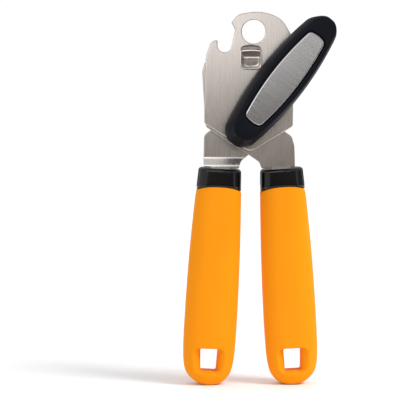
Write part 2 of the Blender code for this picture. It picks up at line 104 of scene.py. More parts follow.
# Their sections, as rows of (height, inner edge, outer edge, half thickness).
GRIP_ROWS = (
    (0.0, 19.2, 28.2, 5.0),
    (0.9, 17.2, 30.3, 6.3),
    (2.6, 14.8, 33.0, 7.5),
    (5.5, 12.3, 36.1, 8.5),
    (9.5, 10.7, 38.1, 9.1),
    (15.4, 9.5, 38.9, 9.5),
    (26.0, 8.5, 38.8, 9.9),
    (42.0, 7.5, 37.9, 10.2),
    (62.0, 6.6, 36.5, 10.3),
    (84.0, 5.9, 34.6, 10.1),
    (SLEEVE_TOP, 5.4, 31.4, 9.3),
)
COLLAR_FOOT_ROW = (COLLAR_FOOT, 5.4, 31.35, 9.3)
COLLAR_HEAD_ROW = (COLLAR_TOP, 5.5, 30.15, 8.95)

# The hang hole: its corners as (x, z), how far each moves for a flare of 1, and rows of (y, flare).
HANG_HOLE = ((19.0, 20.9), (20.1, 8.1), (29.0, 8.7), (29.0, 21.45))
HANG_HOLE_SPREAD = ((-4.3, 0.5), (-4.3, -1.5), (4.8, -1.5), (4.8, 0.5))
HANG_HOLE_COVE = (
    (2.0, 0.0),
    (4.0, 0.03),
    (5.2, 0.10),
    (6.3, 0.25),
    (7.2, 0.5),
    (7.9, 0.8),
    (8.3, 1.0),
    (12.0, 1.7),
)

# The feed arm's jog, from one height to another.
JOG_LOW = 126.0
JOG_HIGH = 132.0

# The key. Its outlines end in a shallow bulge, and its face is shifted (along, across) on its body.
KNOB_ANGLE = math.radians(38.0)
KNOB_LENGTH = 89.1
KNOB_WIDTH = 27.3
KNOB_END_WIDTH = 16.6
FACE_SHIFT = (2.8, 0.2)
INSERT_LENGTH = 61.4
INSERT_WIDTH = 16.2
INSERT_END_WIDTH = 10.8
END_BULGE = 1.0

# The camera: the point it aims at, how far off it stands from there before it is turned, and its lens.
CAMERA_TARGET = Vector((-29.2, 0.0, 106.85))
CAMERA_REACH = Vector((0.0, -1343.0, 106.5))
CAMERA_YAW = math.radians(2.7)
CAMERA_PITCH = math.radians(4.53)
CAMERA_ROLL = math.radians(0.04)
CAMERA_LENS = 210.45


# ---------------------------------------------------------------- node materials


def new_tree(name):
    """A new node material, with its node tree and its shader."""
    material = bpy.data.materials.new(name)
    material.use_nodes = True
    tree = material.node_tree
    return material, tree, tree.nodes["Principled BSDF"]


def coordinates(tree, turn=0.0):
    """The piece's own coordinates in metres, turned about Y."""
    source = tree.nodes.new("ShaderNodeTexCoord")
    mapping = tree.nodes.new("ShaderNodeMapping")
    mapping.inputs["Rotation"].default_value = (0.0, turn, 0.0)
    tree.links.new(source.outputs["Object"], mapping.inputs["Vector"])
    return mapping.outputs["Vector"]


def stretched_noise(tree, vector, per_metre, detail=3.0):
    """Noise with its own count of features per metre along each axis."""
    scaled = tree.nodes.new("ShaderNodeVectorMath")
    scaled.operation = "MULTIPLY"
    scaled.inputs[1].default_value = per_metre
    texture = tree.nodes.new("ShaderNodeTexNoise")
    texture.inputs["Scale"].default_value = 1.0
    texture.inputs["Detail"].default_value = detail
    tree.links.new(vector, scaled.inputs[0])
    tree.links.new(scaled.outputs["Vector"], texture.inputs["Vector"])
    return texture.outputs["Fac"]


def turning_marks(tree, rings_per_metre):
    """Noise that changes only with the distance from the piece's own Y axis, as a lathe leaves it."""
    flat = tree.nodes.new("ShaderNodeVectorMath")
    flat.operation = "MULTIPLY"
    flat.inputs[1].default_value = (1.0, 0.0, 1.0)
    length = tree.nodes.new("ShaderNodeVectorMath")
    length.operation = "LENGTH"
    texture = tree.nodes.new("ShaderNodeTexNoise")
    texture.noise_dimensions = "1D"
    texture.inputs["Scale"].default_value = rings_per_metre
    texture.inputs["Detail"].default_value = 4.0
    tree.links.new(coordinates(tree), flat.inputs[0])
    tree.links.new(flat.outputs["Vector"], length.inputs[0])
    tree.links.new(length.outputs["Value"], texture.inputs["W"])
    return texture.outputs["Fac"]


def mapped(tree, factor, low, high, start=0.3, end=0.7):
    """A value that runs from low to high as the factor runs from start to end."""
    node = tree.nodes.new("ShaderNodeMapRange")
    node.inputs["From Min"].default_value = start
    node.inputs["From Max"].default_value = end
    node.inputs["To Min"].default_value = low
    node.inputs["To Max"].default_value = high
    tree.links.new(factor, node.inputs["Value"])
    return node.outputs["Result"]


def blended(tree, factor, first, second):
    """A colour between two, by a factor. Each colour is three numbers or another colour output."""
    node = tree.nodes.new("ShaderNodeMix")
    node.data_type = "RGBA"
    tree.links.new(factor, node.inputs["Factor"])
    for socket, colour in ((node.inputs[6], first), (node.inputs[7], second)):
        if isinstance(colour, tuple):
            socket.default_value = (*colour, 1.0)
        else:
            tree.links.new(colour, socket)
    return node.outputs[2]


def bumped(tree, shader, height, strength, depth, under=None):
    """Gives a shader a bump of a depth in millimetres, laid over an earlier one if there is one."""
    node = tree.nodes.new("ShaderNodeBump")
    node.inputs["Strength"].default_value = strength
    node.inputs["Distance"].default_value = depth * MM
    tree.links.new(height, node.inputs["Height"])
    if under:
        tree.links.new(under, node.inputs["Normal"])
    tree.links.new(node.outputs["Normal"], shader.inputs["Normal"])
    return node.outputs["Normal"]


def brushed_steel(name, dark, light, roughness, along, turn=0.0):
    """Brushed sheet: long fine scratches, broad uneven sheen, and faint handling stains. along is the
    scratches' share of their full count per metre on each axis."""
    material, tree, shader = new_tree(name)
    vector = coordinates(tree, turn)
    scratches_per_metre, streak_share = 5200.0, 0.22
    per_metre = tuple(scratches_per_metre * share for share in along)
    scratches = stretched_noise(tree, vector, per_metre, 2.0)
    streaks = stretched_noise(tree, vector, tuple(streak_share * v for v in per_metre), 2.0)
    cloud = stretched_noise(tree, vector, (38.0, 38.0, 22.0), 2.0)
    base = blended(tree, mapped(tree, streaks, 0.0, 1.0), dark, light)
    stained = tuple(0.93 * v for v in dark)
    colour = blended(tree, mapped(tree, cloud, 0.0, 0.6, 0.42, 0.72), base, stained)
    tree.links.new(colour, shader.inputs["Base Color"])
    tree.links.new(mapped(tree, scratches, roughness - 0.05, roughness + 0.06), shader.inputs["Roughness"])
    shader.inputs["Metallic"].default_value = 1.0
    first = bumped(tree, shader, streaks, 0.02, 0.02)
    bumped(tree, shader, scratches, 0.035, 0.01, first)
    return material


def turned_steel(name, dark, light, roughness):
    """Turned or stamped steel: rings round the axis, small pits and a slightly uneven tone."""
    material, tree, shader = new_tree(name)
    rings = turning_marks(tree, 5000.0)
    pits = stretched_noise(tree, coordinates(tree), (900.0, 900.0, 900.0), 3.0)
    colour = blended(tree, mapped(tree, pits, 0.0, 1.0), dark, light)
    tree.links.new(colour, shader.inputs["Base Color"])
    tree.links.new(mapped(tree, rings, roughness - 0.06, roughness + 0.08), shader.inputs["Roughness"])
    shader.inputs["Metallic"].default_value = 1.0
    bumped(tree, shader, rings, 0.12, 0.02)
    return material


def moulded(name, dark, light, roughness, grain, depth, gloss):
    """Moulded plastic or rubber: a fine moulded grain, soft waviness and a faintly uneven tone."""
    material, tree, shader = new_tree(name)
    vector = coordinates(tree)
    fine = stretched_noise(tree, vector, (grain, grain, grain), 2.0)
    wave = stretched_noise(tree, vector, (60.0, 60.0, 30.0), 1.0)
    rubbed = stretched_noise(tree, vector, (22.0, 22.0, 14.0), 3.0)
    colour = blended(tree, mapped(tree, rubbed, 0.0, 1.0), dark, light)
    tree.links.new(colour, shader.inputs["Base Color"])
    tree.links.new(mapped(tree, rubbed, roughness - 0.04, roughness + 0.05), shader.inputs["Roughness"])
    shader.inputs["Specular IOR Level"].default_value = gloss
    first = bumped(tree, shader, wave, 0.15, 0.05)
    bumped(tree, shader, fine, 0.25, depth, first)
    return material


# ---------------------------------------------------------------- shapes


def rounded(corners, steps=8, closed=True):
    """A line through (a, b, radius) corners, each one replaced by an arc of its radius."""
    points = []
    for i, (a, b, radius) in enumerate(corners):
        here = Vector((a, b))
        at_end = not closed and i in (0, len(corners) - 1)
        back = Vector(corners[i - 1][:2]) - here
        ahead = Vector(corners[(i + 1) % len(corners)][:2]) - here
        half = back.angle(ahead) / 2
        if at_end or radius == 0 or half > math.radians(89.5):
            points.append(here)
            continue
        back.normalize()
        ahead.normalize()
        centre = here + (back + ahead).normalized() * radius / math.sin(half)
        first = here + back * radius / math.tan(half) - centre
        last = here + ahead * radius / math.tan(half) - centre
        sweep = first.angle_signed(last)
        count = max(2, math.ceil(steps * abs(sweep) / (math.pi / 2) - 0.01))
        for step in range(count + 1):
            points.append(centre + first @ Matrix.Rotation(sweep * step / count, 2))
    return points


def on_circle(centre, radius, angle):
    return Vector((centre[0] + radius * math.cos(angle), centre[1] + radius * math.sin(angle)))


def ring(centre, radius, count=72, phase=0.0):
    """Evenly spaced points round a circle."""
    return [on_circle(centre, radius, phase + math.tau * i / count) for i in range(count)]


def mesh_from(bm, name):
    """A closed mesh, with its normals outward."""
    bmesh.ops.remove_doubles(bm, verts=bm.verts, dist=1e-7)
    bmesh.ops.recalc_face_normals(bm, faces=bm.faces)
    if bm.calc_volume(signed=True) < 0:
        bmesh.ops.reverse_faces(bm, faces=bm.faces)
    mesh = bpy.data.meshes.new(name)
    bm.to_mesh(mesh)
    bm.free()
    return mesh


def sheet(name, y_range, loops, edge=0.3):
    """A flat outline standing in the XZ plane, its edges rounded over. Further loops are holes."""
    thick = abs(y_range[1] - y_range[0])
    curve = bpy.data.curves.new(name, "CURVE")
    curve.dimensions = "2D"
    curve.fill_mode = "BOTH"
    curve.extrude = (thick / 2 - edge) * MM
    curve.bevel_depth = edge * MM
    curve.bevel_resolution = 2
    curve.offset = -edge * MM
    for loop in loops:
        spline = curve.splines.new("POLY")
        spline.points.add(len(loop) - 1)
        spline.use_cyclic_u = True
        for point, (x, z) in zip(spline.points, loop):
            point.co = (x * MM, z * MM, 0.0, 1.0)
    drawn = bpy.data.objects.new(name + " outline", curve)
    bm = bmesh.new()
    bm.from_mesh(drawn.to_mesh())
    drawn.to_mesh_clear()
    bpy.data.objects.remove(drawn)
    middle = Matrix.Translation((0.0, sum(y_range) / 2 * MM, 0.0))
    bmesh.ops.transform(bm, matrix=middle @ Matrix.Rotation(math.pi / 2, 4, "X"), verts=bm.verts)
    return mesh_from(bm, name)


def turned(name, corners, steps=72):
    """A solid turned about the Y axis. The corners are (radius, y, fillet); they start and end on the
    axis, or go round a bore."""
    on_axis = corners[0][0] == 0
    profile = rounded(corners, 5, closed=not on_axis)
    bm = bmesh.new()
    rows = []
    for radius, y in profile:
        if radius < 1e-6:
            rows.append([bm.verts.new((0.0, y * MM, 0.0))] * steps)
            continue
        circle = ring((0.0, 0.0), radius * MM, steps)
        rows.append([bm.verts.new((x, y * MM, z)) for x, z in circle])
    pairs = list(zip(rows, rows[1:]))
    if not on_axis:
        pairs.append((rows[-1], rows[0]))
    for lower, upper in pairs:
        for i in range(steps):
            corners_here = [lower[i - 1], lower[i], upper[i], upper[i - 1]]
            face = [v for k, v in enumerate(corners_here) if v not in corners_here[:k]]
            if len(face) > 2:
                bm.faces.new(face)
    return mesh_from(bm, name)


def loft(name, rings, caps=True):
    """A skin over rings with equal numbers of points, closed by a flat cap on each end ring."""
    bm = bmesh.new()
    loops = [[bm.verts.new(Vector(point) * MM) for point in points] for points in rings]
    for lower, upper in zip(loops, loops[1:]):
        for i in range(len(lower)):
            bm.faces.new((lower[i - 1], lower[i], upper[i], upper[i - 1]))
    if caps:
        bm.faces.new(loops[0])
        bm.faces.new(loops[-1])
    return mesh_from(bm, name)


def shade(mesh, sharp, flat_faces):
    """Smooth shading, apart from edges sharper than an angle and, if flat_faces, round flat faces."""
    bm = bmesh.new()
    bm.from_mesh(mesh)
    for face in bm.faces:
        face.smooth = True
    for edge in bm.edges:
        flats = sum(abs(face.normal.y) > 0.9999 for face in edge.link_faces)
        round_flat_face = flat_faces and flats == 1
        edge.smooth = edge.calc_face_angle(0.0) < math.radians(sharp) and not round_flat_face
    bm.to_mesh(mesh)
    bm.free()


def add(name, mesh, material, body, nodes=(), centre=(0.0, 0.0), sharp=50.0, flat_faces=True):
    """A piece in its place on its body, standing for CAD nodes. centre is where its own axis passes, and
    the last two say which of its edges look sharp."""
    obj = bpy.data.objects.new(name, mesh)
    mesh.materials.append(material)
    bpy.context.scene.collection.objects.link(obj)
    obj.location = HOME + Vector((centre[0], 0.0, centre[1])) * MM
    shade(mesh, sharp, flat_faces)
    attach(obj, body)
    if nodes:
        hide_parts(*nodes)
    return obj


def apply_modifiers(obj):
    """Replaces the object's mesh by its evaluated one."""
    bpy.context.view_layer.update()
    graph = bpy.context.evaluated_depsgraph_get()
    mesh = bpy.data.meshes.new_from_object(obj.evaluated_get(graph))
    obj.modifiers.clear()
    obj.data = mesh
    return mesh


# ---------------------------------------------------------------- handles


def handle_lean(height):
    """How far a handle's axis lies outward from x = 0 at a height."""
    return HANDLE_AXIS[0] + (HANDLE_AXIS[1] - height) * math.tan(LEAN)


def shoulder_height(outward):
    """The height of the arms' shoulders, just above the sloping collar tops."""
    on_axis = COLLAR_TOP + 0.35
    return on_axis + (outward - handle_lean(125.0)) * math.tan(LEAN)


def grip_row(height):
    """The handle's section at a height, on a smooth curve through the rows."""
    rows = GRIP_ROWS
    for i in range(len(rows) - 1):
        low, high = rows[i], rows[i + 1]
        if height <= high[0]:
            break
    span = high[0] - low[0]
    before = rows[max(i - 1, 0)]
    after = rows[min(i + 2, len(rows) - 1)]
    t = (height - low[0]) / span
    values = [height]
    for k in (1, 2, 3):
        leaving = (high[k] - before[k]) / (high[0] - before[0]) * span
        arriving = (after[k] - low[k]) / (after[0] - low[0]) * span
        values.append(
            (2 * t**3 - 3 * t**2 + 1) * low[k]
            + (t**3 - 2 * t**2 + t) * leaving
            + (3 * t**2 - 2 * t**3) * high[k]
            + (t**3 - t**2) * arriving
        )
    return tuple(values)


def oval(row, side, inset=0.0, arch=0.0, sides=96):
    """A rounded oval section. It tilts until, higher up, it is square to the handle's axis, and arch
    lifts its front and rear."""
    height, inner, outer, thick = row
    middle = (inner + outer) / 2
    half_width = (outer - inner) / 2 - inset
    half_thick = thick - inset
    squareness, full_tilt_height = 0.8, 60.0
    tilt = math.tan(LEAN) * min(1.0, height / full_tilt_height)
    points = []
    for i in range(sides):
        angle = math.tau * i / sides
        c, s = math.cos(angle), math.sin(angle)
        outward = middle + half_width * math.copysign(abs(c) ** squareness, c)
        y = half_thick * math.copysign(abs(s) ** squareness, s)
        lift = arch * (abs(s) ** 1.6 - 0.5)
        points.append((side * outward, y, height + tilt * (outward - middle) + lift))
    return points


def hang_hole_cutter(side):
    """A four-sided hole, upright on its outer side and leaning with the handle on its inner side, that
    flares in a smooth cove to a dish at both faces."""
    rings = []
    for sign, rows in ((-1, HANG_HOLE_COVE[::-1]), (1, HANG_HOLE_COVE)):
        for y, flare in rows:
            radius = 0.7 + 4.0 * flare
            outline = []
            for (x, z), (dx, dz) in zip(HANG_HOLE, HANG_HOLE_SPREAD):
                outline.append((x + dx * flare, z + dz * flare, radius))
            rings.append([(side * x, sign * y, z) for x, z in rounded(outline, 6)])
    return loft("hang hole", rings)


def grip_sleeve(name, side, body, material):
    """The orange overmould, melted to one soft-edged skin."""
    heights = [0.0, 0.3, 0.9, 1.7, 2.6, 4.0, 5.5, 7.5, 9.5, 12.0]
    heights += [15.4 + 5.0 * i for i in range(19)]
    heights += [109.0]
    rings = [oval(grip_row(height), side) for height in heights]
    # The seam's edge and the hidden mouth behind it, as (how far down, inset, share of the seam's arch).
    edge = (
        (1.2, 0.0, 0.85),
        (0.3, 0.0, 1.0),
        (0.0, 0.45, 1.0),
        (0.0, 1.6, 1.0),
        (2.4, 2.0, 0.4),
        (5.0, 2.4, 0.0),
    )
    top_width = grip_row(SLEEVE_TOP)[1:]
    for down, inset, share in edge:
        rings.append(oval((SLEEVE_TOP - down, *top_width), side, inset, share * SEAM_ARCH))
    obj = bpy.data.objects.new(name + " blank", loft(name, rings))
    bpy.context.scene.collection.objects.link(obj)
    cutter = bpy.data.objects.new(name + " cutter", hang_hole_cutter(side))
    bpy.context.scene.collection.objects.link(cutter)
    cut = obj.modifiers.new("hang hole", "BOOLEAN")
    cut.object = cutter
    cut.solver = "EXACT"
    melt = obj.modifiers.new("melt", "REMESH")
    melt.mode = "VOXEL"
    melt.voxel_size = 0.48 * MM
    soften = obj.modifiers.new("soften", "SMOOTH")
    soften.factor = 0.5
    soften.iterations = 4
    mesh = apply_modifiers(obj)
    bpy.data.objects.remove(cutter)
    bpy.data.objects.remove(obj)
    nodes = [name.replace("skin", "sleeve")]
    return add(name, mesh, material, body, nodes, sharp=180.0, flat_faces=False)


def collar(name, side, body, material):
    """The glossy end of the black core, with a rounded top edge. Its seam arches at front and rear."""
    foot_width, head_width = COLLAR_FOOT_ROW[1:], COLLAR_HEAD_ROW[1:]
    seam, edge = COLLAR_FOOT + 0.3, 1.9
    # The hidden foot and the seam's edge, as (height, inset, share of the seam's arch).
    lower = (
        (110.2, 2.5, 0.0),
        (111.2, 2.3, 0.4),
        (COLLAR_FOOT, 1.9, 1.0),
        (COLLAR_FOOT, 0.25, 1.0),
        (seam, 0.03, 1.0),
    )
    rings = []
    for height, inset, share in lower:
        rings.append(oval((height, *foot_width), side, inset, share * SEAM_ARCH))
    for step in range(1, 6):
        share = step / 6
        height = seam + (COLLAR_TOP - edge - seam) * share
        width = [a + (b - a) * share for a, b in zip(foot_width, head_width)]
        rings.append(oval((height, *width), side, 0.0, SEAM_ARCH * (1 - share)))
    for step in range(9):
        angle = math.pi / 2 * step / 8
        height = COLLAR_TOP - edge + edge * math.sin(angle)
        rings.append(oval((height, *head_width), side, edge * (1 - math.cos(angle))))
    rings.append(oval(COLLAR_HEAD_ROW, side, edge + 0.8))
    nodes = [name.replace("collar", "grip_core")]
    return add(name, loft(name, rings), material, body, nodes, flat_faces=False)


# ---------------------------------------------------------------- arms and front plate


def tang_corners(side, neck_inner, neck_outer):
    """The part of an arm inside its handle, from the neck's inner shoulder round to its outer one."""
    low, half = 60.0, 5.5
    foot, head = handle_lean(low), handle_lean(125.0)
    return [
        (side * neck_inner, shoulder_height(neck_inner), 0.6),
        (side * (head - half), shoulder_height(head - half), 0),
        (side * (foot - half), low, 3.0),
        (side * (foot + half), low, 3.0),
        (side * (head + half), shoulder_height(head + half), 0),
        (side * neck_outer, shoulder_height(neck_outer), 0.6),
    ]


def jog_depth(height, depth):
    """How far back the feed arm's sheet lies at a height: a slope with a soft bend at each end."""
    bend = 1.6
    rise = depth / (JOG_HIGH - JOG_LOW - bend)
    if height <= JOG_LOW:
        return 0.0
    if height >= JOG_HIGH:
        return depth
    if height < JOG_LOW + bend:
        return rise * (height - JOG_LOW) ** 2 / (2 * bend)
    if height > JOG_HIGH - bend:
        return depth - rise * (JOG_HIGH - height) ** 2 / (2 * bend)
    return rise * (height - JOG_LOW - bend / 2)


def feed_arm(material):
    """The rear arm. Its sheet is sliced across the jog, and then bent."""
    outline = rounded(
        [
            (-27.1, 131.4, 6.0),
            (-26.8, 144.6, 4.5),
            (-16.5, 151.5, 4.0),
            (-9.0, 164.5, 5.0),
            (1.5, 169.5, 3.0),
            (7.2, 170.5, 2.0),
            (7.2, 186.0, 5.0),
            (23.2, 186.0, 8.0),
            (22.8, 153.5, 6.0),
            (13.5, 141.5, 8.0),
            (-1.4, 132.6, 3.0),
            (-5.5, 129.3, 4.0),
        ]
        + tang_corners(-1, 6.9, 27.1)
    )
    front, rear = layer("cutter_arm")
    depth = layer("feed_arm")[1] - rear
    holes = [ring(PIVOT, PIVOT_R + GAP), ring(SHAFT, BUSH_NECK_R + GAP)]
    mesh = sheet("feed_arm_sheet", (front, rear), [outline, *holes])
    bm = bmesh.new()
    bm.from_mesh(mesh)
    slices, slice_height = 26, 0.25
    for step in range(slices):
        place = (0, 0, (JOG_LOW - 0.5 + slice_height * step) * MM)
        everything = [*bm.verts, *bm.edges, *bm.faces]
        bmesh.ops.bisect_plane(bm, geom=everything, dist=1e-7, plane_co=place, plane_no=(0, 0, 1))
    for vert in bm.verts:
        vert.co.y += jog_depth(vert.co.z / MM, depth) * MM
    bm.to_mesh(mesh)
    bm.free()
    return add("feed_arm_sheet", mesh, material, "feed_side", ["feed_arm"])


def cutter_arm(material):
    """The middle arm, a flat sheet."""
    outline = rounded(
        [
            (25.2, 138.0, 6.0),
            (23.6, 143.6, 3.0),
            (13.5, 151.0, 4.0),
            (10.2, 163.0, 6.0),
            (10.1, 178.3, 2.5),
            (1.0, 180.5, 12.0),
            (-8.6, 178.9, 2.0),
            (-10.8, 184.6, 2.0),
            (-26.6, 186.2, 1.2),
            (-28.0, 181.0, 5.0),
            (-27.0, 163.5, 20.0),
            (-25.9, 149.0, 2.5),
            (-0.7, 132.6, 8.0),
            (4.9, 128.7, 4.0),
        ]
        + tang_corners(1, 6.2, 25.6)
    )
    holes = [ring(PIVOT, PIVOT_R + GAP), ring(CUTTER, AXLE_HEAD_R + GAP)]
    mesh = sheet("cutter_arm_sheet", layer("cutter_arm"), [outline, *holes])
    return add("cutter_arm_sheet", mesh, material, "cutter_side", ["cutter_arm"])


def plate_outline():
    """The front plate's edge, from the foot of its left side round by the notch, the top and the V."""
    return rounded(
        [
            (-26.95, 151.2, 2.0),
            (-26.85, 164.0, 40.0),
            (-26.05, 189.5, 12.0),
            (-23.2, 198.0, 4.0),
            (-19.2, 199.2, 0.8),
            (-19.65, 192.0, 4.2),
            (-12.05, 192.0, 3.6),
            (-9.3, 204.6, 0.8),
            (-11.4, 208.9, 0.5),
            (-7.4, 213.7, 6.0),
            (5.7, 215.9, 24.0),
            (17.8, 211.2, 14.0),
            (23.9, 200.0, 12.0),
            (24.3, 175.0, 60.0),
            (24.1, 149.4, 2.0),
            (-0.4, 134.3, 7.0),
        ],
        14,
    )


def front_plate(material):
    """The plate, with its window, its round hole and the holes for the rivet and the bush."""
    front = layer("front_plate")[0]
    window = rounded(
        [
            (-5.6, 182.7, 2.6),
            (5.5, 182.7, 2.6),
            (5.6, 188.5, 10.0),
            (5.4, 195.0, 1.7),
            (0.0, 196.2, 9.0),
            (-5.5, 195.0, 1.7),
        ]
    )
    holes = [window, ring(ROUND_HOLE, ROUND_HOLE_R)]
    holes += [ring(PIVOT, PIVOT_R + GAP), ring(SHAFT, BUSH_NECK_R + GAP)]
    mesh = sheet("front_plate_sheet", (front, front + PLATE_THICKNESS), [plate_outline(), *holes], 0.5)
    return add("front_plate_sheet", mesh, material, "feed_side", ["front_plate"])


def clamped(value):
    return min(1.0, max(0.0, value))


def patch(bm, grid):
    """Adds a sheet of four-sided faces over rows of points."""
    rows = [[bm.verts.new(point) for point in line] for line in grid]
    for lower, upper in zip(rows, rows[1:]):
        for i in range(len(lower) - 1):
            bm.faces.new((lower[i], lower[i + 1], upper[i + 1], upper[i]))


def rim_ramp(material):
    """The tongue pressed back from the window's arched top edge in two steps, and on behind the cup. It
    keeps the arch high up, and widens once it is behind the plate."""
    profile = rounded(
        [
            (196.35, -2.84, 0),
            (195.75, -2.3, 0.6),
            (195.3, -1.5, 0.4),
            (193.8, -1.5, 0.25),
            (193.45, -1.05, 0.2),
            (192.6, -1.25, 0.2),
            (192.3, -0.1, 0.3),
            (188.5, 1.95, 0.3),
            (187.9, 2.0, 0),
        ],
        4,
        False,
    )
    columns = 18
    grid = []
    for z, y in profile:
        arch = 0.8 * clamped((z - 190.5) / 4.0)
        half = 5.0 + 1.2 * clamped((y + 2.4) / 1.2)
        line = []
        for i in range(columns + 1):
            s = 2 * i / columns - 1
            line.append(((half * s + POCKET_X) * MM, y * MM, (z - arch * s * s) * MM))
        grid.append(line)
    bm = bmesh.new()
    patch(bm, grid)
    mesh = bpy.data.meshes.new("rim_guide_ramp")
    bm.to_mesh(mesh)
    bm.free()
    obj = add("rim_guide_ramp", mesh, material, "feed_side", flat_faces=False)
    thicken(obj)
    return obj


def cup_lip(height):
    """How far forward the cup's floor stands at a height, from 0 to 1. It ends in a rolled lip."""
    share = clamped((height - 187.4) / 0.9)
    over = max(0.0, height - 189.0)
    slope = 0.25 * clamped((height - 184.2) / 3.0)
    return slope + 0.75 * share * share * (3 - 2 * share) - 0.8 * over * over


def cup_point(x, y, z, front=-2.93):
    """A vertex of the cup, brought forward from behind its front where the lip is."""
    share = (y - front) / -front
    forward = 1.25 * max(0.0, share) * cup_lip(z)
    return ((x + POCKET_X) * MM, (y - forward) * MM, z * MM)


def cup_row(inset):
    """The cup's U-shaped outline, set in from the window. Near the plate its sides rise higher."""
    low, high, half_width, side_steps = 182.8, 189.5, 5.5, 14
    foot, wide = low + inset, half_width - inset
    radius = max(0.6, 2.6 - 0.5 * max(inset, 0.0))
    bend = foot + radius + 1.0
    peak = high + 5.2 * clamped((0.55 - inset) / 1.3)
    left = [Vector((-wide, peak + (bend - peak) * i / side_steps)) for i in range(side_steps)]
    left += rounded([(-wide, bend, 0), (-wide, foot, radius), (0.0, foot, 0)], 8, False)
    return left + [Vector((-x, z)) for x, z in left[-2::-1]]


def rim_cup(material):
    """The cup pressed back from the window's lower half, with a rolled rim, drawn corners and a lip."""
    # Down the cup's side, as (inset, y).
    section = ((-0.85, -2.91), (-0.35, -3.12), (0.0, -3.0), (0.22, -2.6), (0.32, -2.0), (0.42, -1.2))
    section += ((0.6, -0.65), (0.95, -0.3), (1.5, -0.15))
    rows = [cup_row(inset) for inset, y in section]
    walls = []
    for row, (inset, y) in zip(rows, section):
        walls.append([cup_point(x, y, z) for x, z in row])
    rim_of_floor, floor_y, across = rows[-1], section[-1][1], 12
    floor = []
    for i in range(len(rim_of_floor) // 2):
        left, right = rim_of_floor[i], rim_of_floor[-1 - i]
        line = [left.lerp(right, k / across) for k in range(across + 1)]
        floor.append([cup_point(x, floor_y, z) for x, z in line])
    bm = bmesh.new()
    patch(bm, walls)
    patch(bm, floor)
    bmesh.ops.remove_doubles(bm, verts=bm.verts, dist=1e-6)
    bmesh.ops.recalc_face_normals(bm, faces=bm.faces)
    mesh = bpy.data.meshes.new("rim_guide_cup")
    bm.to_mesh(mesh)
    bm.free()
    obj = add("rim_guide_cup", mesh, material, "feed_side", sharp=60.0, flat_faces=False)
    thicken(obj)
    return obj


def thicken(obj):
    """Gives one of the pocket's surfaces its thickness to the rear, with fine rounded edges."""
    solid = obj.modifiers.new("sheet", "SOLIDIFY")
    solid.thickness = POCKET_THICKNESS * MM
    solid.offset = -1.0 if faces_front(obj.data) else 1.0
    bevel = obj.modifiers.new("cut edge", "BEVEL")
    bevel.width = 0.1 * MM
    bevel.segments = 2
    bevel.angle_limit = math.radians(50)


def faces_front(mesh):
    """Whether a surface's normals point to -Y on the whole."""
    return sum(face.normal.y * face.area for face in mesh.polygons) < 0


# ---------------------------------------------------------------- mechanism


def turned_piece(name, nodes, centre, corners, material, body, steps=72):
    """A piece turned about its own axis, standing for CAD nodes."""
    return add(name, turned(name, corners, steps), material, body, nodes, centre)


def washer(name, node, centre, bore, radius, material, body, edge=0.18):
    front, rear = layer(node)
    corners = [(bore, front, edge), (radius, front, edge), (radius, rear, edge), (bore, rear, edge)]
    return turned_piece(name, [node], centre, corners, material, body)


def pivot_pieces(steel):
    """The rivet, with a low domed head at the front and a peened end at the rear, and its washer."""
    front, rear = layer("pivot_rivet")
    head, peened, under_head, under_peened = 5.2, 4.8, -3.2, 4.7
    corners = [(0, front, 0), (2.6, front + 0.05, 2.0), (head, front + 0.75, 0.5)]
    corners += [(head, under_head, 0.1), (PIVOT_R, under_head, 0)]
    corners += [(PIVOT_R, under_peened, 0), (peened, under_peened, 0.1), (peened, 5.3, 0.4)]
    corners += [(2.9, rear - 0.05, 1.5), (0, rear, 0)]
    turned_piece("pivot_rivet_body", ["pivot_rivet"], PIVOT, corners, steel, "feed_side")
    bore = PIVOT_R + GAP
    washer("pivot_washer_ring", "pivot_washer", PIVOT, bore, 6.0, steel, "feed_side")


def feed_bush(steel):
    """The bush between plate and feed arm, with a shoulder as thick as the cutter arm."""
    bore, shoulder, edge = JOURNAL_R + GAP, 5.4, 0.12
    arm_front, arm_rear = layer("cutter_arm")
    front, rear = layer("feed_bush")
    corners = [(bore, front, edge), (BUSH_NECK_R, front, edge), (BUSH_NECK_R, arm_front, 0.05)]
    corners += [(shoulder, arm_front, edge), (shoulder, arm_rear, edge), (BUSH_NECK_R, arm_rear, 0.05)]
    corners += [(BUSH_NECK_R, rear, edge), (bore, rear, edge)]
    turned_piece("feed_bush_body", ["feed_bush"], SHAFT, corners, steel, "feed_side")


def square(side):
    return ring(ON_AXIS, side / math.sqrt(2), 4, math.pi / 4)


def gear_outline(phase):
    """A spur gear's outline, with rounded-off straight-sided teeth."""
    pitch = GEAR_TEETH * GEAR_MODULE / 2
    # A tooth's flank, as (height over the pitch circle, half the tooth's thickness).
    flank = ((-1.1, 0.95), (-0.5, 0.80), (0.0, 0.63), (0.6, 0.42), (0.88, 0.25))
    points = []
    for tooth in range(GEAR_TEETH):
        middle = phase + math.tau * tooth / GEAR_TEETH
        for side, rows in ((-1, flank), (1, flank[::-1])):
            for height, half_thick in rows:
                radius = pitch + height
                points.append(on_circle(ON_AXIS, radius, middle + side * half_thick / radius))
    return points


def wheel_radius(node):
    """A CAD wheel's outer radius."""
    low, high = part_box(node)
    return (high.z - low.z) / MM / 2


